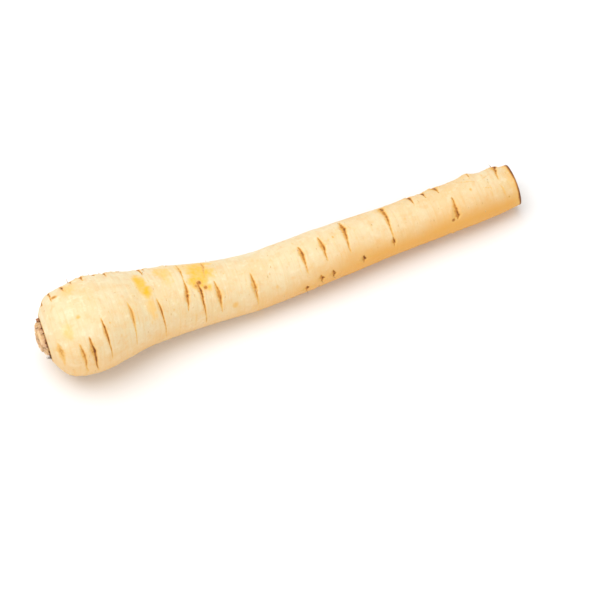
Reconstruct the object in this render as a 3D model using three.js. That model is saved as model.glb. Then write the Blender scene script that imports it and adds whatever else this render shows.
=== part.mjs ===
// A trimmed parsnip, as picked, lying on its side on a level surface.
// Millimetres, +Z up. The crown faces -X and the root tapers along +X to its trimmed tail.
// The origin is on the surface, under the middle of the whole part.
// The root is one solid. In the hollow of its crown stand the stump of the shoot and the
// dried bases of the leaf stalks that were cut away.

import * as THREE from 'three';

// Root: each station is [distance from the crown rim, value at that distance].
const rootLength = 235;
const radiusStations = [
  [0, 11], [1.5, 14], [5, 18.5], [10, 20.5], [16, 21.5], [22, 22], [32, 20.5], [45, 18], [60, 16.5],
  [80, 14.5], [100, 13.5], [130, 13], [160, 12], [190, 11.5], [215, 11.5], [225, 11], [235, 10],
];
const swayStations = [
  [0, 2], [10, -1], [25, -1], [50, 0], [95, -3], [140, -2.5], [190, -1], [235, 0.5],
];
const heightStations = [
  [0, 18.5], [10, 21], [20, 21.5], [55, 17], [95, 13], [145, 13], [185, 12], [225, 11], [235, 10.5],
];
const directionReach = 30; // the spine's direction is averaged this far each way
const tailLean = 0.16; // slope of the tail's cut, which is shorter on its upper side
const tailLeanTurn = THREE.MathUtils.degToRad(-60); // the side where the tail is longest
const tailLeanStart = 205;
const rootSides = 40;
const rootRings = 54;

// Crown: the hollow, the shoot's stump and the leaf bases that stand between them.
const hollowRadius = 10.6;
const hollowDepth = 4.2;
const clearance = 0.35;
const stumpRadius = 8.3;
const stumpEdgeRise = 0.3; // where the stump's domed end starts, above the crown rim
const stumpDomeHeight = 3.55;
const stumpDomeSteps = 6;
const stumpSides = 28;
const leafBaseRadius = 8.8;
const leafBaseThickness = 1.1;
// Each leaf base: [direction round the stump, width in degrees, rise above the rim]
const leafBases = [
  [2, 34, 1.6], [40, 32, 2.3], [86, 36, 0.6], [132, 34, 0.4],
  [176, 32, 0.6], [216, 30, 1.0], [262, 36, 1.9], [312, 34, 1.5],
];

const rootFinish = { color: '#f2dcae', roughness: 0.6, metalness: 0 };
const stumpFinish = { color: '#b98a5c', roughness: 0.85, metalness: 0 };
const leafBaseFinish = { color: '#6b4a30', roughness: 0.9, metalness: 0 };

// A smooth curve through the stations: cubic spans that share their slopes.
function smoothCurve(stations) {
  const spans = stations.slice(1).map(([x], i) => x - stations[i][0]);
  const rises = stations.slice(1).map(([, y], i) => (y - stations[i][1]) / spans[i]);
  const slopes = stations.map((station, i) => {
    if (i === 0) return rises[0];
    if (i === rises.length) return rises[i - 1];
    return (rises[i - 1] * spans[i] + rises[i] * spans[i - 1]) / (spans[i - 1] + spans[i]);
  });
  return (x) => {
    let i = 0;
    while (i < spans.length - 1 && x > stations[i + 1][0]) i += 1;
    const t = (x - stations[i][0]) / spans[i];
    const rest = 1 - t;
    return stations[i][1] * rest * rest * (1 + 2 * t)
      + stations[i + 1][1] * t * t * (3 - 2 * t)
      + spans[i] * t * rest * (slopes[i] * rest - slopes[i + 1] * t);
  };
}

const radiusAt = smoothCurve(radiusStations);
const swayAt = smoothCurve(swayStations);
const heightAt = smoothCurve(heightStations);

// The root isn't quite round: three sets of low waves run round it and turn slowly along it.
function lobes(distance, turn) {
  return 1
    + 0.016 * Math.cos(2 * turn + 1.1 + distance * 0.006)
    + 0.010 * Math.cos(3 * turn - 0.7 + distance * 0.02)
    + 0.006 * Math.cos(5 * turn + distance * 0.035);
}

// The spine's place and the three directions of the ring that stands on it.
function spineFrame(distance) {
  const from = Math.max(distance - directionReach, 0);
  const to = Math.min(distance + directionReach, rootLength);
  const along = new THREE.Vector3(
    1,
    (swayAt(to) - swayAt(from)) / (to - from),
    (heightAt(to) - heightAt(from)) / (to - from),
  ).normalize();
  const side = new THREE.Vector3(0, 0, 1).cross(along).normalize();
  const up = along.clone().cross(side);
  const centre = new THREE.Vector3(distance, swayAt(distance), heightAt(distance));
  return { centre, along, side, up };
}

// Half of the root's lengthwise section, from the floor of the hollow to the tail's centre.
function rootProfile() {
  const points = [
    new THREE.Vector2(0, hollowDepth),
    new THREE.Vector2(hollowRadius - 0.2, hollowDepth),
    new THREE.Vector2(hollowRadius, 0.5),
  ];
  for (let ring = 0; ring <= rootRings; ring += 1) {
    const distance = rootLength * (ring / rootRings) ** 1.5; // rings crowd together at the crown
    points.push(new THREE.Vector2(radiusAt(distance), distance));
  }
  points.push(new THREE.Vector2(0, rootLength));
  return points;
}

// Bends the turned root along its spine, leans the tail's cut, and lays it on the surface,
// where the places that carry the weight are pressed flat.
function layAlongSpine(geometry) {
  const position = geometry.attributes.position;
  for (let i = 0; i < position.count; i += 1) {
    const across = position.getZ(i);
    const above = position.getX(i);
    const distance = position.getY(i);
    const inHollow = distance < hollowDepth + clearance && Math.hypot(across, above) <= hollowRadius;
    const station = inHollow ? 0 : distance; // the hollow is straight
    const scale = lobes(station, Math.atan2(above, across));
    const lean = tailLean * THREE.MathUtils.smoothstep(distance, tailLeanStart, rootLength)
      * (across * Math.cos(tailLeanTurn) + above * Math.sin(tailLeanTurn));
    const { centre, along, side, up } = spineFrame(station);
    const point = centre.addScaledVector(side, across * scale).addScaledVector(up, above * scale);
    point.addScaledVector(along, distance - station + lean);
    position.setXYZ(i, point.x, point.y, Math.max(point.z, 0));
  }
}

function makeRoot() {
  const geometry = new THREE.LatheGeometry(rootProfile(), rootSides);
  layAlongSpine(geometry);
  return geometry;
}

// Crown pieces are modelled round their own Y axis, which points out of the crown.
function makeStump() {
  const foot = clearance - hollowDepth;
  const profile = [
    new THREE.Vector2(0, foot),
    new THREE.Vector2(stumpRadius - 0.5, foot),
    new THREE.Vector2(stumpRadius, foot + 1),
  ];
  for (let step = 0; step < stumpDomeSteps; step += 1) {
    const angle = (Math.PI / 2) * (step / stumpDomeSteps);
    const rise = stumpEdgeRise + stumpDomeHeight * Math.sin(angle);
    profile.push(new THREE.Vector2(stumpRadius * Math.cos(angle), rise));
  }
  profile.push(new THREE.Vector2(0, stumpEdgeRise + stumpDomeHeight));
  const geometry = new THREE.LatheGeometry(profile, stumpSides);
  geometry.scale(1, 1, 0.97);
  return geometry;
}

// A curved scale: a slice of a ring, narrower and closer to the stump at its dried end.
function makeLeafBase(turnDegrees, widthDegrees, rise) {
  const half = THREE.MathUtils.degToRad(widthDegrees / 2);
  const slice = new THREE.Shape();
  slice.absarc(0, 0, leafBaseRadius + leafBaseThickness, -half, half, false);
  slice.absarc(0, 0, leafBaseRadius, half, -half, true);
  slice.closePath();
  const foot = clearance - hollowDepth;
  const height = rise - foot;
  const geometry = new THREE.ExtrudeGeometry(slice, {
    depth: height,
    steps: 3,
    curveSegments: 5,
    bevelEnabled: false,
  });
  const position = geometry.attributes.position;
  for (let i = 0; i < position.count; i += 1) {
    const upward = position.getZ(i) / height;
    const turn = Math.atan2(position.getY(i), position.getX(i)) * (1 - 0.35 * upward * upward);
    const radius = Math.hypot(position.getX(i), position.getY(i)) - 0.45 * upward * upward;
    position.setXYZ(i, radius * Math.cos(turn), radius * Math.sin(turn), position.getZ(i));
  }
  geometry.rotateX(-Math.PI / 2);
  geometry.translate(0, foot, 0);
  geometry.rotateY(THREE.MathUtils.degToRad(turnDegrees));
  return geometry;
}

function makeMesh(name, geometry, finish) {
  const mesh = new THREE.Mesh(geometry, new THREE.MeshStandardMaterial(finish));
  mesh.name = name;
  return mesh;
}

const crown = new THREE.Group();
const crownFrame = spineFrame(0);
crown.position.copy(crownFrame.centre);
crown.quaternion.setFromUnitVectors(new THREE.Vector3(0, 1, 0), crownFrame.along.negate());
crown.add(makeMesh('stem_stump', makeStump(), stumpFinish));
leafBases.forEach(([turn, width, rise], i) => {
  crown.add(makeMesh(`leaf_base_${i + 1}`, makeLeafBase(turn, width, rise), leafBaseFinish));
});

const parsnip = new THREE.Group();
parsnip.add(makeMesh('taproot', makeRoot(), rootFinish), crown);

// The origin goes under the middle of the part.
const middle = new THREE.Box3().setFromObject(parsnip, true).getCenter(new THREE.Vector3());
parsnip.position.set(-middle.x, -middle.y, 0);

export default parsnip;
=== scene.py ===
# A trimmed parsnip lying on a pale table: the scarred root, the cut tail, and the dried
# stump, leaf bases and fibres in the hollow of its crown.

import math

import bpy
import numpy as np
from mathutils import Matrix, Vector


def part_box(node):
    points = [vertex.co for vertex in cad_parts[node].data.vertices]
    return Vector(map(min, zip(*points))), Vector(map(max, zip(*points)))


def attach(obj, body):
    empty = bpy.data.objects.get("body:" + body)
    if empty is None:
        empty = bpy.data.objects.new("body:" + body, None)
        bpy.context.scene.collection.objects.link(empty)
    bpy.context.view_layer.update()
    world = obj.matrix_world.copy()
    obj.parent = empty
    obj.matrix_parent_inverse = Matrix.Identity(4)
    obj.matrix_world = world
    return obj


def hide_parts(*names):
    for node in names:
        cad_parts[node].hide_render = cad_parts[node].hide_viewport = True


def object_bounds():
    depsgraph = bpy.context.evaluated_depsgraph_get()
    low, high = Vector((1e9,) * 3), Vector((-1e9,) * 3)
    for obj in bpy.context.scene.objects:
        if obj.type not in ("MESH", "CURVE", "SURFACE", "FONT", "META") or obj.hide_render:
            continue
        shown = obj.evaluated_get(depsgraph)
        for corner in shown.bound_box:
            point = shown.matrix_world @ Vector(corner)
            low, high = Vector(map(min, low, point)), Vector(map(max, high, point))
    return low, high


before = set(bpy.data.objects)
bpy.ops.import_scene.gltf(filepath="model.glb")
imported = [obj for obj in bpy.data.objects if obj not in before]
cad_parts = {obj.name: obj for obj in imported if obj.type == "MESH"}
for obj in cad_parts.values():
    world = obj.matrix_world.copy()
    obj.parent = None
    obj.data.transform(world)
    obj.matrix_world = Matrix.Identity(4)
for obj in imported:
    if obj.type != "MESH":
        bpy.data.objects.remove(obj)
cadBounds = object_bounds()
mm = 0.001
print("frame loaded:", len(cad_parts), "nodes")


# helpers for shapes

def smoothCurve(stations):
    # cubic spans through [distance, value] stations, sharing their slopes
    x, y = np.array(stations, float).T
    span = np.diff(x)
    rise = np.diff(y) / span
    slope = np.concatenate([
        rise[:1],
        (rise[:-1] * span[1:] + rise[1:] * span[:-1]) / (span[:-1] + span[1:]),
        rise[-1:],
    ])

    def curve(at):
        i = np.clip(np.searchsorted(x, at) - 1, 0, len(span) - 1)
        t = (at - x[i]) / span[i]
        rest = 1 - t
        ends = y[i] * rest**2 * (1 + 2 * t) + y[i + 1] * t**2 * (3 - 2 * t)
        return ends + span[i] * t * rest * (slope[i] * rest - slope[i + 1] * t)

    return curve


def smoothStep(low, high, value):
    t = np.clip((value - low) / (high - low), 0, 1)
    return t * t * (3 - 2 * t)


def aroundNoise(along, turn, step, cells, seed):
    # smooth noise from -1 to 1 that closes on itself round the axis
    values = np.random.default_rng(seed).uniform(-1, 1, (int(along.max() / step) + 3, cells))
    x = np.maximum(along, 0) / step
    y = np.mod(turn / (2 * math.pi), 1) * cells
    i, j = x.astype(int), y.astype(int) % cells
    u, v = smoothStep(0, 1, x - i), smoothStep(0, 1, y - np.floor(y))
    near = values[i, j] * (1 - v) + values[i, (j + 1) % cells] * v
    far = values[i + 1, j] * (1 - v) + values[i + 1, (j + 1) % cells] * v
    return near * (1 - u) + far * u


def turnFrom(turn, middle):
    # signed degrees from the middle, the short way round
    return np.mod(np.degrees(turn) - middle + 180, 360) - 180


def meshPiece(name, points, faces, finishes, faceFinish=None, values=None):
    # a smooth mesh from points in millimetres, with point attributes
    mesh = bpy.data.meshes.new(name)
    mesh.from_pydata((np.asarray(points, float) * mm).tolist(), [], faces)
    for finish in finishes:
        mesh.materials.append(finish)
    if faceFinish is not None:
        mesh.polygons.foreach_set("material_index", np.asarray(faceFinish, np.int32))
    for label, data in (values or {}).items():
        data = np.asarray(data, np.float32)
        kind = "FLOAT" if data.ndim == 1 else "FLOAT_VECTOR"
        field = "value" if data.ndim == 1 else "vector"
        mesh.attributes.new(label, kind, "POINT").data.foreach_set(field, data.ravel())
    mesh.shade_smooth()
    piece = bpy.data.objects.new(name, mesh)
    bpy.context.scene.collection.objects.link(piece)
    return piece


def ringFaces(rings, sides):
    # quads between rings of points, in the order that faces them away from the axis
    faces = []
    for ring in range(rings - 1):
        here = ring * sides
        for side in range(sides):
            after = (side + 1) % sides
            faces.append((here + side, here + after, here + sides + after, here + sides + side))
    return faces


def capFaces(pole, first, sides, outward):
    # a fan from a pole to a ring
    fan = [(pole, first + (side + 1) % sides, first + side) for side in range(sides)]
    return fan if outward else [tuple(reversed(face)) for face in fan]


def withPoles(data):
    # point values, with a zero for each of the two poles that close a piece
    return np.concatenate([data.ravel(), [0, 0]])


def nodePoints(name):
    # a node's corners, in millimetres
    return np.array([v.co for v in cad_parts[name].data.vertices]) / mm


# helpers for shader and geometry nodes

def addNode(tree, kind, inputs=None, **properties):
    made = tree.nodes.new(kind)
    for label, value in properties.items():
        setattr(made, label, value)
    for label, value in (inputs or {}).items():
        socket = made.inputs[label]
        if isinstance(value, bpy.types.NodeSocket):
            tree.links.new(value, socket)
        else:
            socket.default_value = value
    return made


def newFinish(name, roughness, specular=0.35, **sockets):
    finish = bpy.data.materials.new(name)
    finish.use_nodes = True
    tree = finish.node_tree
    shader = tree.nodes["Principled BSDF"]
    shader.inputs["Roughness"].default_value = roughness
    shader.inputs["Specular IOR Level"].default_value = specular
    for label, value in sockets.items():
        shader.inputs[label.replace("_", " ")].default_value = value
    return finish, tree, shader


def attribute(tree, name, output="Fac"):
    return addNode(tree, "ShaderNodeAttribute", attribute_name=name).outputs[output]


def noise(tree, vector, scale, detail=3.0, roughness=0.55):
    return addNode(tree, "ShaderNodeTexNoise", {
        "Vector": vector, "Scale": scale, "Detail": detail, "Roughness": roughness,
    }).outputs["Fac"]


def stretched(tree, vector, scale):
    return addNode(tree, "ShaderNodeMapping", {"Vector": vector, "Scale": scale}).outputs["Vector"]


def ranged(tree, value, low, high, toLow=0.0, toHigh=1.0):
    return addNode(tree, "ShaderNodeMapRange", {
        "Value": value, "From Min": low, "From Max": high, "To Min": toLow, "To Max": toHigh,
    }, interpolation_type="SMOOTHSTEP").outputs["Result"]


def times(tree, a, b):
    made = addNode(tree, "ShaderNodeMath", {0: a, 1: b}, operation="MULTIPLY", use_clamp=True)
    return made.outputs[0]


def plus(tree, a, b):
    return addNode(tree, "ShaderNodeMath", {0: a, 1: b}, operation="ADD").outputs[0]


def mixed(tree, factor, a, b):
    made = addNode(tree, "ShaderNodeMix", data_type="RGBA")
    for index, value in ((0, factor), (6, a), (7, b)):
        socket = made.inputs[index]
        if isinstance(value, bpy.types.NodeSocket):
            tree.links.new(value, socket)
        else:
            socket.default_value = value if index == 0 else (*value, 1)
    return made.outputs[2]


def bumped(tree, shader, height, strength, distance):
    made = addNode(tree, "ShaderNodeBump", {
        "Height": height, "Strength": strength, "Distance": distance,
    })
    tree.links.new(made.outputs["Normal"], shader.inputs["Normal"])


# the root

rootShape = {
    "length": 235.0,
    "radius": [
        [0, 11], [1.5, 14], [5, 18.5], [10, 20.5], [16, 21.5], [22, 22], [32, 20.5], [45, 18],
        [60, 16.5], [80, 14.5], [100, 13.5], [130, 13], [160, 12], [190, 11.5], [215, 11.5],
        [225, 11], [235, 10],
    ],
    "sway": [[0, 2], [10, -1], [25, -1], [50, 0], [95, -3], [140, -2.5], [190, -1], [235, 0.5]],
    "height": [
        [0, 18.5], [10, 21], [20, 21.5], [55, 17], [95, 13], [145, 13], [185, 12], [225, 11],
        [235, 10.5],
    ],
    "directionReach": 30.0,
    "tailLean": 0.16,
    "tailLeanTurn": -60.0,
    "tailLeanStart": 205.0,
    "hollowRadius": 10.6,
    "hollowDepth": 4.2,
    "cutSunk": 0.45,
    "floorRings": 9,
    "wallRings": 7,
    "skinRings": 590,
    "cutRings": 16,
    "sides": 150,
}

# Turns are in degrees round the root: 90 is the top and 0 the far side.
skinMarks = {
    # [place along, lean, first turn, last turn, width, stain, dark line, widest at]
    "scars": [
        [4, 0.5, 135, 180, 3.0, 0.8, 0.1, 0.3], [12, 1.5, 140, 195, 2.4, 0.8, 0.5, 0.3],
        [16.5, 1.5, 135, 200, 2.4, 1.0, 0.9, 0.3], [23.5, 1.5, 120, 180, 1.6, 0.8, 0.8, 0.3],
        [36, 0.5, 110, 180, 1.6, 0.7, 0.3, 0.2], [50.5, 3.5, 115, 195, 1.4, 0.7, 0.8, 0.2],
        [64.5, -1, 45, 105, 1.2, 0.5, 0.6, 0.5], [63.5, -1.5, 95, 150, 2.4, 1.0, 0.6, 0.5],
        [76, -2.5, 45, 100, 1.4, 0.6, 0.5, 0.4], [71, 2, 100, 190, 2.0, 0.9, 0.8, 0.2],
        [79, 1.5, 105, 170, 2.8, 1.0, 0.5, 0.4], [96.5, 1, 105, 180, 2.6, 0.8, 0.5, 0.4],
        [122.5, 0, 85, 150, 2.6, 0.9, 0.6, 0.3], [133, 0.5, 80, 140, 2.6, 0.9, 0.6, 0.4],
        [145.5, -2, 55, 145, 3.0, 1.0, 0.6, 0.3], [167, -1, 45, 150, 3.6, 1.0, 0.6, 0.1],
        [166.5, 0, 140, 165, 2.8, 1.0, 0.6, 0.5], [182.5, -0.5, 30, 90, 2.4, 0.9, 0.8, 0.3],
        [189.5, -0.5, 25, 80, 2.4, 0.9, 0.9, 0.4], [196, 0, 30, 80, 3.4, 1.0, 0.6, 0.4],
        [200, -0.5, 100, 160, 3.8, 1.0, 0.6, 0.8], [227.5, -2, 30, 100, 4.0, 1.0, 0.7, 0.2],
        [121, 0, 175, 200, 4.0, 1.0, 0.8, 0.4], [128.5, 0, 160, 185, 3.8, 1.0, 0.8, 0.5],
        [134.5, 0, 160, 185, 3.6, 1.0, 0.8, 0.5], [150.5, 0, 155, 180, 3.6, 1.0, 0.8, 0.5],
        [213.5, 0, 40, 80, 0.8, 0.4, 0.6, 0.3], [219.5, 5, 105, 115, 1.2, 0.4, 0.3, 0.5],
        [227, 1.5, 110, 150, 1.2, 0.4, 0.2, 0.5], [211, 12, 65, 90, 1.8, 0.3, 0.2, 0.5],
        [221, -10, 70, 90, 1.6, 0.3, 0.2, 0.5],
    ],
    "tickPlaces": [2.5, 6.5, 12.5, 17, 22, 28, 32.5, 38, 48, 50, 60.5],
    "tickTurns": (18, 62),
    "tickWidths": (1.2, 2.6),
    "hiddenScars": 46,
    "hiddenStart": 3,
    "hiddenReach": 228,
    "hiddenTurns": (-168, 26),
    "hiddenWidths": (1.1, 2.6),
    "faintScars": 60,
    # [place along, turn, radius, darkness]
    "spots": [
        [8, 65, 1.3, 0.6], [14, 110, 0.9, 0.4], [73.5, 115, 1.1, 0.7], [71, 105, 1.2, 0.7],
        [69, 110, 0.9, 0.6], [197.5, 155, 1.0, 0.6], [139.5, 95, 0.5, 0.5], [210.5, 100, 0.7, 0.4],
        [86, 160, 1.6, 0.3], [229, 150, 0.6, 0.5], [107, 150, 1.0, 0.2], [30, 150, 0.5, 0.3],
        [26, 130, 0.5, 0.3], [56, 140, 0.5, 0.3], [84, 95, 0.4, 0.3], [175, 110, 0.4, 0.3],
    ],
    # [place along, turn, half length along, half length around, strength]
    "patches": [
        [44.5, 85, 2.5, 5, 0.9], [45.5, 105, 3, 4, 1.0], [57, 75, 4.5, 7, 0.6],
        [73.5, 75, 7.5, 8.5, 0.9], [70.5, 105, 5.5, 4, 1.0], [75.5, 115, 2, 2, 0.9],
        [45.5, 130, 3, 6, 0.5], [8.5, 125, 2, 3.5, 0.4], [14.5, 60, 3.5, 6, 0.4],
        [150, -30, 6, 7, 0.6], [30, -70, 8, 6, 0.5], [98, -120, 5, 6, 0.6],
        [190, -80, 7, 5, 0.5], [66, 65, 4, 5, 0.4],
    ],
    # [place along, turn, radius, height]
    "bumps": [
        [213, 45, 3.5, 1.1], [220.5, 40, 3.5, -0.5], [228.5, 40, 2.5, 1.1], [232, 45, 2.5, -1.2],
        [212.5, 80, 2.5, 0.3], [8, 50, 2.5, 0.3], [22, 40, 3.5, 0.5], [50, 40, 3, 0.4],
        [60, 40, 2.5, 0.3], [37, 40, 6, 0.6], [166.5, 60, 4, 0.3], [181.5, 40, 3, 0.4],
        [194.5, 40, 3, 0.6], [90, -40, 5, 0.5], [180, -100, 5, 0.6],
    ],
    "seed": 11,
}


def spineFrame(distance):
    # the spine's places and the directions of the rings that stand on it
    sway, height = smoothCurve(rootShape["sway"]), smoothCurve(rootShape["height"])
    reach, length = rootShape["directionReach"], rootShape["length"]
    low, high = np.maximum(distance - reach, 0), np.minimum(distance + reach, length)
    along = np.stack([
        np.ones_like(distance),
        (sway(high) - sway(low)) / (high - low),
        (height(high) - height(low)) / (high - low),
    ], -1)
    along /= np.linalg.norm(along, axis=-1, keepdims=True)
    side = np.cross([0.0, 0.0, 1.0], along)
    side /= np.linalg.norm(side, axis=-1, keepdims=True)
    centre = np.stack([distance, sway(distance), height(distance)], -1)
    return centre, along, side, np.cross(along, side)


def lobes(distance, turn):
    return (
        1
        + 0.016 * np.cos(2 * turn + 1.1 + distance * 0.006)
        + 0.010 * np.cos(3 * turn - 0.7 + distance * 0.02)
        + 0.006 * np.cos(5 * turn + distance * 0.035)
    )


def allScars():
    # the scars listed one by one, ticks along the far shoulder, then seeded ones on the
    # hidden side and faint ones all over
    random = np.random.default_rng(skinMarks["seed"])
    scars = [list(scar) for scar in skinMarks["scars"]]
    first, last = skinMarks["tickTurns"]
    for place in skinMarks["tickPlaces"]:
        ends = [place, 0.3, first + random.uniform(-8, 14), last + random.uniform(-16, 12)]
        width = random.uniform(*skinMarks["tickWidths"])
        scars.append(ends + [width, 0.8, random.uniform(0.75, 1.0), 0.5])
    low, high = skinMarks["hiddenTurns"]
    start, reach, count = (skinMarks[key] for key in ("hiddenStart", "hiddenReach", "hiddenScars"))
    for i in range(count):
        place = max(start + reach * (i + random.uniform(-0.4, 0.4)) / count, 2.5)
        first = random.uniform(low, high - 40)
        last = min(first + random.uniform(28, 90), high)
        ends = [place, random.uniform(-1.5, 1.5), first, last]
        scars.append(ends + [
            random.uniform(*skinMarks["hiddenWidths"]), random.uniform(0.4, 0.9),
            random.uniform(0.2, 0.8), random.uniform(0.15, 0.8)])
    for _ in range(skinMarks["faintScars"]):
        place, first = random.uniform(4, 230), random.uniform(-180, 180)
        ends = [place, random.uniform(-0.8, 0.8), first, first + random.uniform(8, 34)]
        scars.append(ends + [random.uniform(0.5, 0.9), 0.25, 0.12, 0.5])
    return scars


def ovalFrom(along, turn, radius, place, middle, halfAlong, halfAround):
    # distance from an oval's middle, 1 at its edge
    around = np.radians(turnFrom(turn, middle)) * radius
    return np.hypot((along - place) / halfAlong, around / halfAround)


def skinRelief(along, turn):
    # height of the skin over the plain root, and how stained, lined and yellow it is
    radius = smoothCurve(rootShape["radius"])(along)
    relief = 0.22 * aroundNoise(along, turn, 17, 5, 3) + 0.11 * aroundNoise(along, turn, 7, 9, 4)
    relief += 0.06 * aroundNoise(along, turn, 1.7, 7, 5) + 0.03 * aroundNoise(along, turn, 1.1, 60, 6)
    stain, line, yellow = np.zeros_like(along), np.zeros_like(along), np.zeros_like(along)
    ragged = aroundNoise(along, turn, 1.3, 90, 7)
    frayed = aroundNoise(along, turn, 0.7, 170, 12)
    drift = aroundNoise(along, turn, 9, 26, 8)
    for place, leaning, first, last, width, staining, dark, widest in allScars():
        way = turnFrom(turn, (first + last) / 2) / (last - first) + 0.5
        share = np.clip(way, 0, 1)
        grow = np.clip(share / widest, 0, 1) ** 0.8
        fall = np.clip((1 - share) / (1 - widest), 0, 1)
        taper = np.minimum(grow, fall**1.25)
        middle = place + leaning * (share - 0.5) + 0.25 * drift
        half = width / 2 * (0.10 + 0.90 * taper) * (1 + 0.24 * ragged + 0.16 * frayed)
        away = (along - middle) / half
        shown = smoothStep(0, 0.06, share) * smoothStep(1, 0.94, share)
        body = np.exp(-np.abs(away) ** 2.4) * shown
        halo = np.exp(-((away / 2.6) ** 2)) * taper
        edge = middle + 0.45 * half * taper
        crease = np.exp(-(((along - edge) / (0.18 + 0.22 * taper * width / 2)) ** 2)) * shown
        lip = np.exp(-(((np.abs(away) - 1.7) / 0.55) ** 2)) * taper
        deep = (0.20 + 0.34 * dark) * min(width / 1.7, 1.6) * (0.35 + 0.65 * taper)
        relief += 0.42 * deep * lip - deep * body
        stain = np.maximum(stain, staining * np.maximum(body * (0.55 + 0.45 * taper), 0.36 * halo))
        broken = np.clip(0.78 + 0.35 * ragged + 0.30 * frayed, 0, 1.2)
        line = np.maximum(line, dark * crease * (0.45 + 0.55 * taper) * broken)
    for place, middle, size, dark in skinMarks["spots"]:
        spot = np.exp(-ovalFrom(along, turn, radius, place, middle, size, size) ** 3)
        relief -= 0.25 * spot * dark
        line = np.maximum(line, 1.25 * dark * spot * (0.8 + 0.3 * ragged))
    for place, middle, halfAlong, halfAround, strength in skinMarks["patches"]:
        away = ovalFrom(along, turn, radius, place, middle, halfAlong, halfAround)
        away += 0.30 * drift + 0.22 * ragged
        yellow = np.maximum(yellow, strength * (1 - smoothStep(0.35, 1.25, away)))
    for place, middle, size, high in skinMarks["bumps"]:
        away = ovalFrom(along, turn, radius, place, middle, size, size)
        relief += high * np.exp(-away ** 2 * 1.6)
    line *= 1 + 0.2 * smoothStep(90, 140, along)  # the marks darken towards the tail
    return relief, stain, line, yellow


def rootRings():
    # the radius, place and zone of every ring from the floor of the hollow to the middle of
    # the tail's cut; zone 0 is the hollow, 1 the skin and 2 the cut
    hollow, depth, length = (rootShape[key] for key in ("hollowRadius", "hollowDepth", "length"))
    radiusAt = smoothCurve(rootShape["radius"])
    rings = [(r, depth, 0) for r in np.linspace(0.6, hollow - 0.5, rootShape["floorRings"])]
    rings += [(hollow, a, 0) for a in np.linspace(depth - 0.4, 0.4, rootShape["wallRings"])]
    rings += [(hollow + 0.12, 0.12, 0)]
    share = np.linspace(0, 1, rootShape["skinRings"])
    skin = length * (share + 0.10 * (share**2 - share))  # slightly closer together at the crown
    rings += [(float(radiusAt(a)), a, 1) for a in skin]
    edge = float(radiusAt(length))
    cut = np.linspace(edge - 0.3, 0.5, rootShape["cutRings"])
    rings += [(r, length + 0.02, 2) for r in cut]
    return [np.array(column) for column in zip(*rings)]


def layRoot(radius, along, zone, turn, relief):
    # carries points given round the axis onto the bent root, pressed flat where it rests
    station = np.where(zone == 0, 0.0, along)
    centre, forward, side, up = spineFrame(station)
    wide = radius * lobes(station, turn) + relief
    across, above = wide * np.cos(turn), wide * np.sin(turn)
    leanTurn = math.radians(rootShape["tailLeanTurn"])
    lean = rootShape["tailLean"] * smoothStep(rootShape["tailLeanStart"], rootShape["length"], along)
    ahead = along - station + lean * (across * math.cos(leanTurn) + above * math.sin(leanTurn))
    points = centre + across[:, None] * side + above[:, None] * up + ahead[:, None] * forward
    points[:, 2] = np.maximum(points[:, 2], 0)
    return points


def rootOffset():
    # from the shape's own origin to the frame's, found from the taproot's box
    turn, along = (grid.ravel() for grid in np.meshgrid(
        np.linspace(0, 2 * math.pi, 41), rootShape["length"] * np.linspace(0, 1, 55) ** 1.5))
    radius = smoothCurve(rootShape["radius"])(along)
    plain = layRoot(radius, along, np.ones_like(along), turn, 0)
    low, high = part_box("taproot")
    middle = (np.array(low) + np.array(high)) / (2 * mm)
    offset = middle - (plain.min(0) + plain.max(0)) / 2
    offset[2] = 0
    return offset


skinLook = {
    "cream": (0.80, 0.675, 0.43), "buff": (0.785, 0.61, 0.34), "pale": (0.86, 0.76, 0.53),
    "ringTan": (0.79, 0.56, 0.27), "dappleTan": (0.80, 0.53, 0.25), "grain": (0.88, 0.78, 0.56),
    # underside: a darker orange painted on the lower side as shade and warm bounced light
    "paintedShadeOrange": (0.79, 0.405, 0.085), "yellow": (0.92, 0.50, 0.03), "pore": (0.58, 0.30, 0.10),
    "markGold": (0.80, 0.48, 0.14), "markBrown": (0.56, 0.235, 0.045),
    "markDark": (0.17, 0.058, 0.016),
    "subsurface": (1.0, 0.55, 0.25),
}


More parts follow.
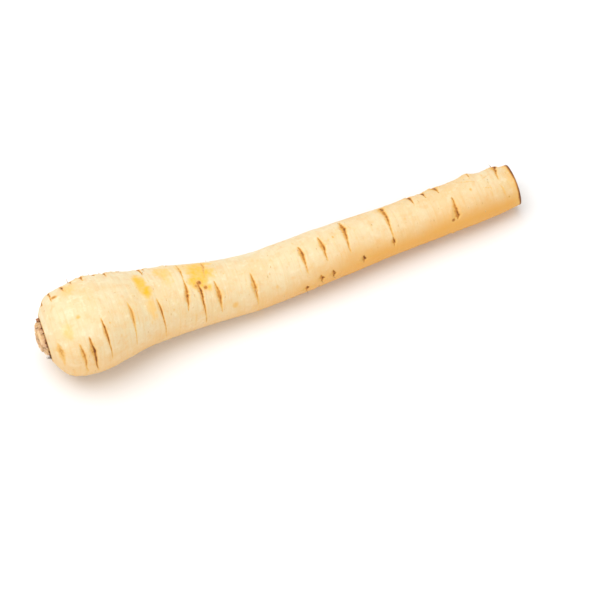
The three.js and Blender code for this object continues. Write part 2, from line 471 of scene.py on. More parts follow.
def skinFinish():
    finish, tree, shader = newFinish(
        "rootSkin", 0.5, 0.25, Subsurface_Weight=0.15, Subsurface_Scale=0.003)
    shader.inputs["Subsurface Radius"].default_value = skinLook["subsurface"]
    place = addNode(tree, "ShaderNodeTexCoord").outputs["Object"]
    wrapped = attribute(tree, "skinCoord", "Vector")
    broad = noise(tree, place, 55, 3)
    rings = noise(tree, stretched(tree, wrapped, (900, 45, 45)), 1.0, 4, 0.6)
    grain = noise(tree, stretched(tree, wrapped, (1300, 500, 500)), 1.0, 3)
    pores = noise(tree, stretched(tree, wrapped, (620, 420, 420)), 1.0, 1, 0.4)
    dapple = noise(tree, place, 230, 4, 0.65)
    colour = mixed(tree, ranged(tree, broad, 0.35, 0.68), skinLook["cream"], skinLook["buff"])
    colour = mixed(tree, ranged(tree, rings, 0.45, 0.75, 0, 0.6), colour, skinLook["ringTan"])
    colour = mixed(tree, ranged(tree, dapple, 0.50, 0.70, 0, 0.6), colour, skinLook["dappleTan"])
    colour = mixed(tree, ranged(tree, dapple, 0.46, 0.32, 0, 0.6), colour, skinLook["pale"])
    colour = mixed(tree, ranged(tree, grain, 0.55, 0.8, 0, 0.4), colour, skinLook["grain"])
    # painted shade: the lower side is mixed towards a darker orange
    colour = mixed(tree, attribute(tree, "paintedShade"), colour, skinLook["paintedShadeOrange"])
    mottle = ranged(tree, noise(tree, place, 420, 3), 0.3, 0.62, 0.72, 1.0)
    yellowed = times(tree, attribute(tree, "yellow"), mottle)
    colour = mixed(tree, yellowed, colour, skinLook["yellow"])
    colour = mixed(tree, ranged(tree, pores, 0.74, 0.82, 0, 0.4), colour, skinLook["pore"])
    # marks go from gold through orange brown to near black as they deepen
    stain = attribute(tree, "stain")
    patchy = ranged(tree, noise(tree, place, 900, 2), 0.3, 0.7, 0.38, 0.62)
    # the line value also carries the painted shade round the rim of the hollow
    mark = plus(tree, times(tree, stain, patchy), times(tree, attribute(tree, "line"), 0.95))
    colour = mixed(tree, ranged(tree, mark, 0.0, 0.34), colour, skinLook["markGold"])
    colour = mixed(tree, ranged(tree, mark, 0.26, 0.60), colour, skinLook["markBrown"])
    colour = mixed(tree, ranged(tree, mark, 0.58, 0.98), colour, skinLook["markDark"])
    tree.links.new(colour, shader.inputs["Base Color"])
    rough = ranged(tree, plus(tree, stain, times(tree, rings, 0.5)), 0.0, 1.2, 0.45, 0.8)
    tree.links.new(rough, shader.inputs["Roughness"])
    height = plus(tree, times(tree, rings, 0.6), times(tree, grain, 0.4))
    bumped(tree, shader, height, 0.35, 0.0006)
    return finish


cutLook = {
    "core": (0.62, 0.34, 0.11), "flesh": (0.86, 0.68, 0.40), "ring": (0.72, 0.49, 0.22),
    "outer": (0.86, 0.69, 0.42), "fine": (0.70, 0.48, 0.22), "bark": (0.30, 0.13, 0.045),
    "rays": (0.60, 0.37, 0.15),
}


def tailCutFinish():
    finish, tree, shader = newFinish("tailCut", 0.65, 0.25)
    reach = attribute(tree, "reach")
    place = addNode(tree, "ShaderNodeTexCoord").outputs["Object"]
    wobble = plus(tree, reach, ranged(tree, noise(tree, place, 380, 3), 0.2, 0.8, -0.07, 0.07))
    wrapped = attribute(tree, "skinCoord", "Vector")
    spokes = noise(tree, stretched(tree, wrapped, (160, 1500, 1500)), 1.0, 3)
    fine = noise(tree, stretched(tree, wrapped, (5000, 300, 300)), 1.0, 3)
    colour = mixed(tree, ranged(tree, wobble, 0.25, 0.5), cutLook["core"], cutLook["flesh"])
    colour = mixed(tree, ranged(tree, wobble, 0.50, 0.60), colour, cutLook["ring"])
    colour = mixed(tree, ranged(tree, wobble, 0.60, 0.74), colour, cutLook["outer"])
    colour = mixed(tree, ranged(tree, fine, 0.45, 0.70, 0, 0.45), colour, cutLook["fine"])
    colour = mixed(tree, ranged(tree, wobble, 0.86, 0.99), colour, cutLook["bark"])
    colour = mixed(tree, ranged(tree, spokes, 0.48, 0.72, 0, 0.5), colour, cutLook["rays"])
    tree.links.new(colour, shader.inputs["Base Color"])
    bumped(tree, shader, plus(tree, spokes, fine), 0.6, 0.0006)
    return finish


def hollowFinish():
    finish, tree, shader = newFinish("crownHollow", 0.9, 0.15)
    place = addNode(tree, "ShaderNodeTexCoord").outputs["Object"]
    crumbs = noise(tree, place, 1400, 5, 0.7)
    # the hollow is painted near black: dark soil together with painted shadow in the recess
    soilAndPaintedShadow, fleck = (0.014, 0.008, 0.005), (0.085, 0.042, 0.018)
    colour = mixed(tree, ranged(tree, crumbs, 0.35, 0.7), soilAndPaintedShadow, fleck)
    tree.links.new(colour, shader.inputs["Base Color"])
    bumped(tree, shader, crumbs, 0.9, 0.0009)
    return finish


def makeRoot(offset):
    radius, along, zone = rootRings()
    sides = rootShape["sides"]
    count = len(radius)
    turn = np.tile(np.arange(sides) * 2 * math.pi / sides, count)
    radius, along, zone = (np.repeat(column, sides) for column in (radius, along, zone))
    relief, stain, line, yellow = skinRelief(along, turn)
    length, cutSunk = rootShape["length"], rootShape["cutSunk"]
    fade = smoothStep(0, 2.5, along) * (zone == 1)
    relief *= fade
    crumbs = aroundNoise(along * 6 + radius * 3, turn, 4, 60, 21)
    relief += np.where(zone == 0, 0.12 * crumbs * (radius > 2), 0)
    points = layRoot(radius, along, zone, turn, relief)
    _, forward, side, up = spineFrame(np.where(zone == 0, 0.0, along))
    sunk = cutSunk * (1 - smoothStep(0, 9, radius)) - 0.22 * np.exp(-(((radius - 6.2) / 0.5) ** 2))
    points -= np.where(zone == 2, sunk + 0.1 * crumbs, 0)[:, None] * forward
    points += np.where((zone == 0) & (along > 4), 0.35 * crumbs, 0)[:, None] * forward
    # painted shade round the rim of the hollow, and darkness along the edge of the cut
    paintedRimShade = 1 - smoothStep(0.02, 0.16 + 0.08 * crumbs, along)
    patchy = 0.5 + 0.5 * aroundNoise(along, turn, 300, 13, 22)
    patchy = patchy + 0.35 * np.exp(-(turnFrom(turn, 88) / 22) ** 2)
    cutEdge = smoothStep(length - 0.9 - 1.1 * patchy, length - 0.3, along)
    cutEdge = cutEdge * np.clip(0.55 + 0.45 * patchy, 0, 1)
    line = np.where(zone == 1, np.maximum(line, np.maximum(0.6 * paintedRimShade, 0.9 * cutEdge)), 0)
    stain = np.where(zone == 1, np.maximum(stain, smoothStep(length - 8, length, along) * 0.45), 0)
    # painted shade and bounced light: the side turned to the table is painted a darker orange, and on
    # the tail this reaches further up
    facing = np.cos(turn) * side[:, 2] + np.sin(turn) * up[:, 2]
    warm = smoothStep(70, 165, along)
    cloudy = 0.12 * aroundNoise(along, turn, 12, 8, 9)
    paintedShade = smoothStep(0.80, -0.35, facing - 0.42 * warm + cloudy)
    paintedShade = np.where(zone == 1, np.maximum(paintedShade * (0.52 + 0.48 * warm), 0.10 * warm), 0)
    ends = np.array([rootShape["hollowDepth"], length])
    poles = layRoot(np.zeros(2), ends, np.array([0, 1]), np.zeros(2), 0)
    poles[1] -= cutSunk * spineFrame(np.array([length]))[1][0]
    points = np.concatenate([points, poles]) + offset
    last = (count - 1) * sides
    faces = ringFaces(count, sides)
    faceZone = np.repeat(zone.reshape(count, sides)[1:, 0], sides).astype(int)
    faces += capFaces(len(points) - 2, 0, sides, True)
    faces += capFaces(len(points) - 1, last, sides, False)
    finishes = [skinFinish(), hollowFinish(), tailCutFinish()]
    finishOf = {0: 1, 1: 0, 2: 2}  # each zone's place in that list
    faceFinish = [finishOf[z] for z in faceZone] + [finishOf[0]] * sides + [finishOf[2]] * sides
    # on the cut the pattern keeps its width towards the middle, so that it runs in rays
    around = np.where(zone == 2, 10, radius) * mm
    ahead = np.where(zone == 2, radius, along) * mm
    coord = np.stack([ahead, around * np.cos(turn), around * np.sin(turn)], -1)
    coord = np.concatenate([coord, [[0.004, 0, 0], [0, 0, 0]]])
    tailRadius = radius[last - sides * rootShape["cutRings"]]
    return meshPiece("parsnipRoot", points, faces, finishes, faceFinish, {
        "skinCoord": coord, "stain": withPoles(stain), "line": withPoles(line),
        "yellow": withPoles(yellow * fade), "paintedShade": withPoles(paintedShade),
        "reach": withPoles(radius / tailRadius),
    })


offset = rootOffset()
root = makeRoot(offset)
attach(root, "root")
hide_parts("taproot")
print("root made:", len(root.data.polygons), "faces")


# the stump of the shoot

crownCentre, crownForward, crownSide, crownUp = (part[0] for part in spineFrame(np.zeros(1)))
crownCentre = crownCentre + offset
crownOut = -crownForward


def crownPoints(radius, turn, rise):
    # points round the crown's axis, in millimetres; rise is measured out from the rim
    radius, turn, rise = np.broadcast_arrays(radius, turn, rise)
    across, above = radius * np.cos(turn), radius * np.sin(turn)
    return (crownCentre + across[..., None] * crownSide + above[..., None] * crownUp
            + rise[..., None] * crownOut)


def crownReach(name):
    # a crown node's turn, radius and rise ranges, read from its corners
    away = nodePoints(name) - crownCentre
    rise, across, above = away @ crownOut, away @ crownSide, away @ crownUp
    middle = math.atan2(above.mean(), across.mean())
    turns = np.radians(turnFrom(np.arctan2(above, across), math.degrees(middle)))
    radii = np.hypot(across, above)
    return middle, np.abs(turns).max(), radii.min(), radii.max(), rise.min(), rise.max()


stumpShape = {
    "sides": 168, "sideRings": 26, "domeRings": 74,
    "radius": 8.3, "edgeRise": 0.3, "domeHeight": 3.55,
    # cut leaf stalks, each [turn, width, radius, half thickness, lift]
    "stalks": [
        [28, 84, 6.9, 0.95, 0.60], [116, 84, 6.9, 1.00, 0.25], [208, 88, 6.8, 0.95, -0.25],
        [300, 86, 6.9, 1.00, 0.15], [66, 112, 4.8, 0.85, 0.25], [186, 112, 4.75, 0.90, 0.20],
        [305, 116, 4.8, 0.85, 0.00], [20, 172, 2.95, 0.70, 0.15], [200, 172, 2.9, 0.65, 0.25],
    ],
    "core": [1.9, 1.35, 0.4],
    "gap": 0.55, "seed": 23,
}


stumpLook = {
    "wood": (0.66, 0.40, 0.17), "straw": (0.86, 0.62, 0.34), "rose": (0.82, 0.56, 0.35),
    "olive": (0.72, 0.60, 0.36), "pith": (0.84, 0.66, 0.40), "ridge": (0.42, 0.17, 0.055),
    # the darkest tone is painted shade for the gaps between stalks and the stump's foot in the hollow
    "paintedGapShade": (0.15, 0.055, 0.020),
}


def stumpFinish():
    finish, tree, shader = newFinish("stumpEnd", 0.8, 0.2)
    wrapped = attribute(tree, "skinCoord", "Vector")
    place = addNode(tree, "ShaderNodeTexCoord").outputs["Object"]
    strands = noise(tree, stretched(tree, wrapped, (300, 900, 900)), 1.0, 4, 0.6)
    blotch = noise(tree, place, 330, 3)
    colour = mixed(tree, ranged(tree, strands, 0.3, 0.7), stumpLook["wood"], stumpLook["straw"])
    colour = mixed(tree, ranged(tree, blotch, 0.42, 0.62), colour, stumpLook["rose"])
    colour = mixed(tree, ranged(tree, blotch, 0.60, 0.75, 0, 0.5), colour, stumpLook["olive"])
    colour = mixed(tree, attribute(tree, "pale"), colour, stumpLook["pith"])
    colour = mixed(tree, attribute(tree, "ridge"), colour, stumpLook["ridge"])
    # painted shade in the gaps between stalks and down in the hollow
    colour = mixed(tree, attribute(tree, "paintedGapShade"), colour, stumpLook["paintedGapShade"])
    tree.links.new(colour, shader.inputs["Base Color"])
    bumped(tree, shader, plus(tree, strands, blotch), 0.6, 0.0005)
    return finish


def domeRise(radius):
    # the stump's end is half an ellipse from its edge to its middle
    inward = np.clip(radius / stumpShape["radius"], 0, 1)
    return stumpShape["edgeRise"] + stumpShape["domeHeight"] * np.sqrt(1 - inward**2)


def stalkPattern(radius, turn):
    # rise, gaps, outlines and paleness of the cut stalks over the stump's dome
    random = np.random.default_rng(stumpShape["seed"])
    wave = aroundNoise(radius * 2, turn, 3, 14, 31)
    rise, inside = np.zeros_like(radius), np.zeros_like(radius)
    outline, pale = np.zeros_like(radius), np.zeros_like(radius)
    for middle, width, place, thick, lift in stumpShape["stalks"]:
        aroundShare = np.abs(turnFrom(turn, middle)) / (width / 2) + 0.05 * wave
        bow = place + 0.35 * (1 - aroundShare**2) - 0.15 + 0.16 * wave
        away = ((np.abs(radius - bow) / thick) ** 3 + np.abs(aroundShare) ** 3) ** (1 / 3)
        within = smoothStep(1.04, 0.90, away)
        tilt = random.uniform(-0.15, 0.15) * (radius - bow) / thick
        rise += within * (lift + tilt + 0.18 * (1 - np.minimum(away, 1) ** 2))
        inside = np.maximum(inside, within)
        outline = np.maximum(outline, np.exp(-(((away - 0.80) / 0.09) ** 2)))
        pale = np.maximum(pale, smoothStep(0.62, 0.35, away) * random.uniform(0.2, 0.8))
    # a lens of pale pith in the middle
    long, short, lift = stumpShape["core"]
    away = np.hypot(radius * np.cos(turn) / long, radius * np.sin(turn) / short) + 0.08 * wave
    within = smoothStep(1.08, 0.92, away)
    rise += within * lift * (1 - 0.5 * away**2)
    inside = np.maximum(inside, within)
    outline = np.maximum(outline, np.exp(-(((away - 0.82) / 0.10) ** 2)))
    pale = np.maximum(pale, 0.9 * smoothStep(0.7, 0.45, away))
    return rise, 1 - inside, outline, pale


def makeStump():
    low, high = crownReach("stem_stump")[4:]
    sides, sideRings, domeRings = (stumpShape[key] for key in ("sides", "sideRings", "domeRings"))
    turn = np.arange(sides) * 2 * math.pi / sides
    edge, edgeRise = stumpShape["radius"], stumpShape["edgeRise"]
    climb = np.linspace(0, 1, sideRings)[:-1]
    inward = edge * np.cos(np.linspace(0, 0.495 * math.pi, domeRings))  # stops by the middle
    radius = np.concatenate([edge - 0.5 * (1 - smoothStep(0, 0.2, climb)), inward])
    rise = np.concatenate([low + (edgeRise - low) * climb, domeRise(inward)])
    onDome = np.concatenate([np.zeros(len(climb)), np.ones(domeRings)])
    radius, turns = np.meshgrid(radius, turn, indexing="ij")
    rise, onDome = (np.repeat(column[:, None], sides, 1) for column in (rise, onDome))
    lifted, gaps, outline, pale = stalkPattern(radius, turns)
    strands = 0.08 * aroundNoise(radius + 8 * rise + 40, turns, 9, 84, 32)
    strands += 0.05 * aroundNoise(radius + 8 * rise + 40, turns, 3, 120, 33)
    fade = onDome * smoothStep(edge + 0.1, edge - 0.5, radius)
    shift = fade * (lifted - stumpShape["gap"] * gaps - 0.15) + onDome * strands
    sideways = (1 - onDome) * (strands - 0.1)
    points = crownPoints(radius + sideways, turns, rise + shift).reshape(-1, 3)
    poles = crownPoints(np.zeros(2), np.zeros(2), np.array([low, high - 0.5]))
    points = np.concatenate([points, poles])
    rings = len(radius)
    faces = ringFaces(rings, sides) + capFaces(len(points) - 2, 0, sides, True)
    faces += capFaces(len(points) - 1, (rings - 1) * sides, sides, False)
    # rings run out from the crown, against the root's own direction, so the faces turn over
    faces = [tuple(reversed(face)) for face in faces]
    inner = 1 - smoothStep(7.2, 7.9, radius)
    # painted shade: the gaps between the cut stalks and the stump's side down in the hollow are
    # darkened near black
    paintedGapShade = np.maximum(0.6 * gaps * fade * inner, 0.9 * (1 - smoothStep(-1.6, -0.5, rise)))
    ridge = np.maximum(0.7 * outline * fade * inner, 0.35 * smoothStep(7.4, 8.2, radius))
    coord = np.stack([rise, radius * np.cos(turns), radius * np.sin(turns)], -1).reshape(-1, 3) * mm
    return meshPiece("stemStump", points, faces, [stumpFinish()], None, {
        "skinCoord": np.concatenate([coord, np.zeros((2, 3))]),
        "paintedGapShade": withPoles(paintedGapShade), "ridge": withPoles(ridge), "pale": withPoles(pale * fade),
    })


stump = makeStump()
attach(stump, "root")
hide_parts("stem_stump")
print("stump made:", len(stump.data.polygons), "faces")


# the dried leaf bases

leafBaseShape = {
    "columns": 30, "rows": 26, "fringe": 0.5, "ribs": 7, "thin": 0.35, "seed": 41,
    # [paleness of the dried end, how far up it starts]
    "driedEnds": [
        [0.70, 0.6], [0.60, 0.45], [0.30, 0.80], [0.40, 0.78], [0.35, 0.80], [0.40, 0.7],
        [0.95, 0.6], [0.60, 0.6],
    ],
}


def leafBaseFinish():
    finish, tree, shader = newFinish("driedLeafBase", 0.85, 0.2)
    strand = attribute(tree, "skinCoord", "Vector")
    strands = noise(tree, stretched(tree, strand, (250, 2200, 2200)), 1.0, 4, 0.6)
    dark = mixed(tree, ranged(tree, strands, 0.3, 0.7), (0.030, 0.013, 0.006), (0.15, 0.065, 0.025))
    russet = mixed(tree, ranged(tree, strands, 0.3, 0.7), (0.28, 0.10, 0.045), (0.56, 0.27, 0.14))
    pale = mixed(tree, ranged(tree, strands, 0.3, 0.7), (0.50, 0.27, 0.12), (0.86, 0.63, 0.38))
    colour = mixed(tree, ranged(tree, attribute(tree, "paleness"), 0.0, 0.5), dark, russet)
    colour = mixed(tree, ranged(tree, attribute(tree, "paleness"), 0.5, 1.0), colour, pale)
    tree.links.new(colour, shader.inputs["Base Color"])
    bumped(tree, shader, strands, 0.8, 0.0005)
    return finish


def makeLeafBase(name, pieceName, finish, seed, paleTip, paleFrom):
    middle, half, inner, outer, low, high = crownReach(name)
    random = np.random.default_rng(seed)
    columns, rows = leafBaseShape["columns"], leafBaseShape["rows"]
    across, upward = np.meshgrid(
        np.linspace(-1, 1, columns), np.linspace(0, 1, rows), indexing="ij")
    phase = random.uniform(0, 6, 3)
    ragged = 0.5 * np.sin(5 * across + phase[0]) + 0.3 * np.sin(13 * across + phase[1])
    ragged += 0.2 * np.sin(29 * across + phase[2])
    top = high - leafBaseShape["fringe"] * (0.45 + 0.55 * ragged) * (1 - 0.25 * across**2)
    rise = low + (top - low) * upward
    turn = middle + half * across * (1 - 0.22 * upward**2)
    ribs = 0.10 * np.cos(leafBaseShape["ribs"] * math.pi * across) * (0.4 + upward)
    thick = (outer - inner) * (1 - (1 - leafBaseShape["thin"]) * upward) * (1 - 0.6 * across**4)
    curl = random.uniform(-0.25, 0.35) * upward**2
    middleRadius = (inner + outer) / 2 + 0.15 + curl - 0.3 * upward**2
    outside = crownPoints(middleRadius + thick / 2 + ribs, turn, rise)
    inside = crownPoints(middleRadius - thick / 2 + ribs * 0.6, turn, rise)
    points = np.concatenate([outside.reshape(-1, 3), inside.reshape(-1, 3)])
    shift = columns * rows
    faces = []  # the outer and inner sheets, then the edges that join them
    for c in range(columns - 1):
        for r in range(rows - 1):
            a, b = c * rows + r, (c + 1) * rows + r
            faces.append((a, a + 1, b + 1, b))
            faces.append((shift + a, shift + b, shift + b + 1, shift + a + 1))
    for c in range(columns - 1):
        a, b = c * rows, (c + 1) * rows
        faces.append((a, b, shift + b, shift + a))
        faces.append((a + rows - 1, shift + a + rows - 1, shift + b + rows - 1, b + rows - 1))
    for r in range(rows - 1):
        a, b = r, (columns - 1) * rows + r
        faces.append((a, shift + a, shift + a + 1, a + 1))
        faces.append((b, b + 1, shift + b + 1, shift + b))
    paleness = paleTip * smoothStep(paleFrom, paleFrom + 0.3, upward + 0.12 * ragged).ravel()
    coord = np.stack([rise, turn * 9, across], -1).reshape(-1, 3) * mm
    return meshPiece(pieceName, points, faces, [finish], None, {
        "skinCoord": np.concatenate([coord, coord]), "paleness": np.tile(paleness, 2),
    })


leafFinish = leafBaseFinish()
for i, (paleTip, paleFrom) in enumerate(leafBaseShape["driedEnds"]):
    base = makeLeafBase(f"leaf_base_{i + 1}", f"leafBase{i + 1}", leafFinish,
                        leafBaseShape["seed"] + i, paleTip, paleFrom)
    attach(base, "root")
    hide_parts(f"leaf_base_{i + 1}")
print("leaf bases made:", len(leafBaseShape["driedEnds"]))


# what repeats: fibres in the hollow, rootlets, lenticels and the stump's bundles

def newTree(name, inputs):
    # a geometry tree with a Geometry socket each way and the named inputs
    tree = bpy.data.node_groups.new(name, "GeometryNodeTree")
    tree.interface.new_socket("Geometry", in_out="INPUT", socket_type="NodeSocketGeometry")
    for label, kind in inputs:
        tree.interface.new_socket(label, in_out="INPUT", socket_type=kind)
    tree.interface.new_socket("Geometry", in_out="OUTPUT", socket_type="NodeSocketGeometry")
    return tree, addNode(tree, "NodeGroupInput").outputs


def finishTree(tree, given, instances):
    # realizes the instances and gives them the material
    solid = addNode(tree, "GeometryNodeRealizeInstances", {"Geometry": instances})
    painted = addNode(tree, "GeometryNodeSetMaterial", {
        "Geometry": solid.outputs[0], "Material": given["Finish"]})
    smooth = addNode(tree, "GeometryNodeSetShadeSmooth", {"Geometry": painted.outputs[0]})
    addNode(tree, "NodeGroupOutput", {"Geometry": smooth.outputs[0]})


def pointFacts(tree, given):
    # the direction, the way round and the size stored on each point
    def stored(name, kind):
        made = addNode(tree, "GeometryNodeInputNamedAttribute", data_type=kind)
        made.inputs["Name"].default_value = name
        return made.outputs["Attribute"]
    outward, sideways = stored("outward", "FLOAT_VECTOR"), stored("sideways", "FLOAT_VECTOR")
    upright = addNode(tree, "FunctionNodeAlignRotationToVector", {"Vector": outward}, axis="Z")
    facing = addNode(tree, "FunctionNodeAlignRotationToVector", {
        "Rotation": upright.outputs[0], "Vector": sideways}, axis="X", pivot_axis="Z")
    points = addNode(tree, "GeometryNodeMeshToPoints", {"Mesh": given["Geometry"]})
    return points.outputs[0], facing.outputs[0], stored("size", "FLOAT")


def strandTree():
    # a bent, tapering strand on every point
    tree, given = newTree("strands", [
        ("Length", "NodeSocketFloat"), ("Thickness", "NodeSocketFloat"),
        ("Bend", "NodeSocketFloat"), ("Finish", "NodeSocketMaterial")])
    points, facing, size = pointFacts(tree, given)
    cone = addNode(tree, "GeometryNodeMeshCone", {
        "Vertices": 6, "Side Segments": 7, "Radius Top": 0.18, "Radius Bottom": 1.0, "Depth": 1.0})
    where = addNode(tree, "GeometryNodeInputPosition").outputs[0]
    split = addNode(tree, "ShaderNodeSeparateXYZ", {0: where}).outputs

    def product(a, b):
        return addNode(tree, "ShaderNodeMath", {0: a, 1: b}, operation="MULTIPLY").outputs[0]
    bend = product(product(split["Z"], split["Z"]), given["Bend"])
    made = addNode(tree, "ShaderNodeCombineXYZ", {
        "X": plus(tree, product(split["X"], given["Thickness"]), bend),
        "Y": product(split["Y"], given["Thickness"]), "Z": product(split["Z"], given["Length"])})
    strand = addNode(tree, "GeometryNodeSetPosition", {
        "Geometry": cone.outputs["Mesh"], "Position": made.outputs[0]})
    placed = addNode(tree, "GeometryNodeInstanceOnPoints", {
        "Points": points, "Instance": strand.outputs[0], "Rotation": facing, "Scale": size})
    finishTree(tree, given, placed.outputs[0])
    return tree


def beadTree():
    # a low bead on every point, longer one way
    tree, given = newTree("beads", [
        ("Length", "NodeSocketFloat"), ("Width", "NodeSocketFloat"),
        ("Height", "NodeSocketFloat"), ("Finish", "NodeSocketMaterial")])
    points, facing, size = pointFacts(tree, given)
    ball = addNode(tree, "GeometryNodeMeshIcoSphere", {"Radius": 1.0, "Subdivisions": 2})
    spread = addNode(tree, "ShaderNodeCombineXYZ", {
        "X": given["Length"], "Y": given["Width"], "Z": given["Height"]})
    bead = addNode(tree, "GeometryNodeTransform", {
        "Geometry": ball.outputs["Mesh"], "Scale": spread.outputs[0]})
    placed = addNode(tree, "GeometryNodeInstanceOnPoints", {
        "Points": points, "Instance": bead.outputs[0], "Rotation": facing, "Scale": size})
    finishTree(tree, given, placed.outputs[0])
    return tree


def growOn(name, tree, points, outward, sideways, size, inputs):
    # runs the tree on the points and keeps the result as a plain mesh
    carrier = meshPiece(name + "Points", points, [], [], None, {
        "outward": outward, "sideways": sideways, "size": size})
    modifier = carrier.modifiers.new("grow", "NODES")
    modifier.node_group = tree
    for item in tree.interface.items_tree:
        if item.item_type == "SOCKET" and item.in_out == "INPUT" and item.name in inputs:
            modifier[item.identifier] = inputs[item.name]
    bpy.context.view_layer.update()
    evaluated = carrier.evaluated_get(bpy.context.evaluated_depsgraph_get())
    mesh = bpy.data.meshes.new_from_object(evaluated)
    mesh.name = name
    bpy.data.objects.remove(carrier)
    piece = bpy.data.objects.new(name, mesh)
    bpy.context.scene.collection.objects.link(piece)
    return piece


def plainFinish(name, low, high, scale, roughness=0.8):
    # two tones broken up by a fine noise
    finish, tree, shader = newFinish(name, roughness, 0.2)
    place = addNode(tree, "ShaderNodeTexCoord").outputs["Object"]
    mottle = noise(tree, place, scale, 4, 0.6)
    colour = mixed(tree, ranged(tree, mottle, 0.35, 0.65), low, high)
    tree.links.new(colour, shader.inputs["Base Color"])
    bumped(tree, shader, mottle, 0.5, 0.0003)
    return finish


crownFibres = {
    "count": 260, "length": 2.9, "thickness": 0.13, "bend": 1.1, "seed": 51,
    "innerRadius": 8.8, "rise": (-3.9, -2.4),
    "tuft": 14, "tuftTurns": (196, 226), "tuftLift": 1.7,
    "dark": (0.018, 0.009, 0.004), "light": (0.17, 0.080, 0.033),
}


def makeCrownFibres(tree):
    random = np.random.default_rng(crownFibres["seed"])
    tuft, count = crownFibres["tuft"], crownFibres["count"] + crownFibres["tuft"]
    turn = random.uniform(0, 2 * math.pi, count)
    radius = random.uniform(crownFibres["innerRadius"], rootShape["hollowRadius"] - 0.4, count)
    rise = random.uniform(*crownFibres["rise"], count)
    turn[:tuft] = np.radians(random.uniform(*crownFibres["tuftTurns"], tuft))
    rise[:tuft] += crownFibres["tuftLift"]
    points = crownPoints(radius, turn, rise)
    radial = np.cos(turn)[:, None] * crownSide + np.sin(turn)[:, None] * crownUp
    around = np.cos(turn)[:, None] * crownUp - np.sin(turn)[:, None] * crownSide
    outward = crownOut + random.uniform(-0.25, 0.10, (count, 1)) * radial
    outward = outward + random.uniform(-0.6, 0.6, (count, 1)) * around
    size = random.uniform(0.5, 1.15, count)
    size[:tuft] = random.uniform(0.7, 1.25, tuft)
    sideways = around * random.choice([-1, 1], (count, 1))
    return growOn("crownFibres", tree, points, outward, sideways, size, {
        "Length": crownFibres["length"] * mm, "Thickness": crownFibres["thickness"] * mm,
        "Bend": crownFibres["bend"] * mm,
        "Finish": plainFinish("crownFibre", crownFibres["dark"], crownFibres["light"], 700)})


def skinPoints(along, turn, lift):
    # points on the skin with their outward and round-the-root directions
    radius = smoothCurve(rootShape["radius"])(along)
    zone = np.ones_like(along)
    relief = skinRelief(along, turn)[0] * smoothStep(0, 2.5, along)
    points = layRoot(radius, along, zone, turn, relief)
    higher = layRoot(radius + 1, along, zone, turn, relief)
    aside = layRoot(radius, along, zone, turn + 0.02, relief)
    outward = higher - points
    return points + lift * outward + offset, outward, aside - points


rootlets = {
    "count": 70, "length": 2.2, "thickness": 0.16, "bend": 0.9, "seed": 61, "lowest": 4,
    "dark": (0.20, 0.09, 0.035), "light": (0.55, 0.33, 0.14),
}


def makeRootlets(tree):
    random = np.random.default_rng(rootlets["seed"])
    scars = [scar for scar in allScars() if scar[4] > 0.3]
    along, turn = [], []
    for i in range(rootlets["count"]):
        place, _, first, last = scars[i % len(scars)][:4]
        end = first + (last - first) * random.choice([0.04, 0.12, 0.9])
        along.append(place + random.normal(0, 0.4))
        turn.append(math.radians(end + random.normal(0, 2)))
    points, outward, around = skinPoints(np.array(along), np.array(turn), -0.15)
    keep = points[:, 2] > rootlets["lowest"]
    size = np.minimum(random.gamma(2.0, 0.24, len(points)) + 0.12, 1.0)
    outward = outward + random.normal(0, 0.35, outward.shape)
    return growOn("rootlets", tree, points[keep], outward[keep], around[keep], size[keep], {
        "Length": rootlets["length"] * mm, "Thickness": rootlets["thickness"] * mm,
        "Bend": rootlets["bend"] * mm,
        "Finish": plainFinish("rootlet", rootlets["dark"], rootlets["light"], 900)})


lenticels = {
    "count": 150, "length": 0.65, "width": 0.18, "height": 0.08, "seed": 71, "lowest": 1,
    "dark": (0.55, 0.32, 0.12), "light": (0.82, 0.60, 0.30),
}


def makeLenticels(tree):
    random = np.random.default_rng(lenticels["seed"])
    along = random.uniform(3, rootShape["length"] - 3, lenticels["count"])
    turn = random.uniform(0, 2 * math.pi, lenticels["count"])
    points, outward, around = skinPoints(along, turn, 0.0)
    keep = points[:, 2] > lenticels["lowest"]
    size = random.uniform(0.4, 1.3, len(points))
    return growOn("lenticels", tree, points[keep], outward[keep], around[keep], size[keep], {
        "Length": lenticels["length"] * mm, "Width": lenticels["width"] * mm,
        "Height": lenticels["height"] * mm,
        "Finish": plainFinish("lenticel", lenticels["dark"], lenticels["light"], 1200, 0.6)})


bundleEnds = {
    "length": 0.20, "width": 0.15, "height": 0.12, "perStalk": 7, "seed": 81,
    "dark": (0.62, 0.38, 0.20), "light": (0.88, 0.66, 0.44),
}


def makeBundleEnds(tree):
    random = np.random.default_rng(bundleEnds["seed"])
    radius, turn = [], []
    for middle, width, place, thick, _ in stumpShape["stalks"]:
        for share in np.linspace(-0.72, 0.72, bundleEnds["perStalk"]):
            turn.append(math.radians(middle + share * width / 2 + random.uniform(-2, 2)))
            radius.append(place + 0.2 + random.uniform(-0.25, 0.25) * thick)
    radius, turn = np.array(radius), np.array(turn)
    rise = domeRise(radius) + stalkPattern(radius, turn)[0] - 0.13
    points = crownPoints(radius, turn, rise)
    turn = turn[:, None]
    outward = np.tile(crownOut, (len(points), 1))
    around = np.cos(turn) * crownUp - np.sin(turn) * crownSide
    size = random.uniform(0.7, 1.2, len(points))
    return growOn("bundleEnds", tree, points, outward, around, size, {
        "Length": bundleEnds["length"] * mm, "Width": bundleEnds["width"] * mm,
        "Height": bundleEnds["height"] * mm,
        "Finish": plainFinish("bundleEnd", bundleEnds["dark"], bundleEnds["light"], 1500)})


strands, beads = strandTree(), beadTree()
grown = [
    (makeCrownFibres(strands), "dried_leaf_base"),
    (makeRootlets(strands), "root_skin"),
    (makeLenticels(beads), "root_skin"),
    (makeBundleEnds(beads), "stem_stump"),
]
for piece, slotName in grown:
    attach(piece, "root")
    print("grown:", piece.name, len(piece.data.polygons), "faces")


# table, light and camera

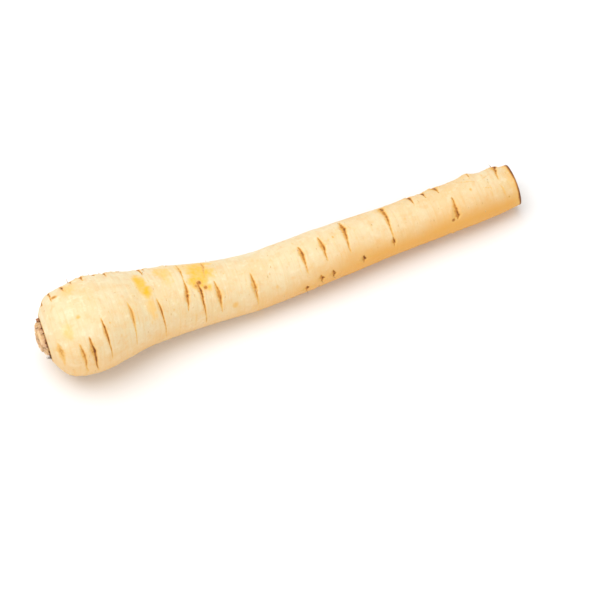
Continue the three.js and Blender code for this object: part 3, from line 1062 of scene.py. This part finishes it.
studio = {
    "tableSize": 8.0,
    "tableDrop": 0.00005,
    "tableColour": (0.90, 0.905, 0.92),
    "worldColour": (1.0, 0.99, 0.98),
    "worldStrength": 0.68,
    # [name, place in metres from the middle, size in metres, watts, colour]
    "lamps": [
        ["overhead", (-0.40, 0.20, 1.5), 1.6, 17.3, (1.0, 0.99, 0.975)],
        ["fill", (-0.6, -1.1, 0.7), 1.2, 4.0, (1.0, 0.95, 0.87)],
    ],
}
view = {
    "azimuth": -23.75, "elevation": 55.0, "distance": 1.2, "lens": 157.0, "sensorWidth": 36,
    "aim": (-0.0006, -0.0201, 0.012),
}


def makeTable():
    half, down = studio["tableSize"] / 2, -studio["tableDrop"]
    corners = [(-half, -half, down), (half, -half, down), (half, half, down), (-half, half, down)]
    mesh = bpy.data.meshes.new("table")
    mesh.from_pydata(corners, [], [(0, 1, 2, 3)])
    table = bpy.data.objects.new("table", mesh)
    bpy.context.scene.collection.objects.link(table)
    finish, _, shader = newFinish("tableTop", 0.6, 0.2)
    shader.inputs["Base Color"].default_value = (*studio["tableColour"], 1)
    mesh.materials.append(finish)


def makeLamps(middle):
    for name, place, size, watts, colour in studio["lamps"]:
        lamp = bpy.data.lights.new(name, "AREA")
        lamp.shape, lamp.size, lamp.energy, lamp.color = "DISK", size, watts, colour
        holder = bpy.data.objects.new(name, lamp)
        holder.location = middle + Vector(place)
        holder.rotation_euler = (-Vector(place)).to_track_quat("-Z", "Y").to_euler()
        bpy.context.scene.collection.objects.link(holder)
    world = bpy.data.worlds.new("studio")
    world.use_nodes = True
    sky = world.node_tree.nodes["Background"]
    sky.inputs["Color"].default_value = (*studio["worldColour"], 1)
    sky.inputs["Strength"].default_value = studio["worldStrength"]
    bpy.context.scene.world = world
    bpy.context.scene.view_settings.view_transform = "Standard"


def makeCamera(middle):
    turn, tilt = math.radians(view["azimuth"]), math.radians(view["elevation"])
    level = math.cos(tilt)
    back = Vector((math.sin(turn) * level, -math.cos(turn) * level, math.sin(tilt)))
    camera = bpy.data.objects.new("camera", bpy.data.cameras.new("camera"))
    camera.data.lens, camera.data.sensor_width = view["lens"], view["sensorWidth"]
    camera.location = middle + Vector(view["aim"]) + back * view["distance"]
    camera.rotation_euler = back.to_track_quat("Z", "Y").to_euler()
    bpy.context.scene.collection.objects.link(camera)
    bpy.context.scene.camera = camera


low, high = Vector(cadBounds[0]), Vector(cadBounds[1])
middle = Vector(((low.x + high.x) / 2, (low.y + high.y) / 2, low.z))
makeTable()
makeLamps(middle)
makeCamera(middle)
print("table, lamps and camera set")
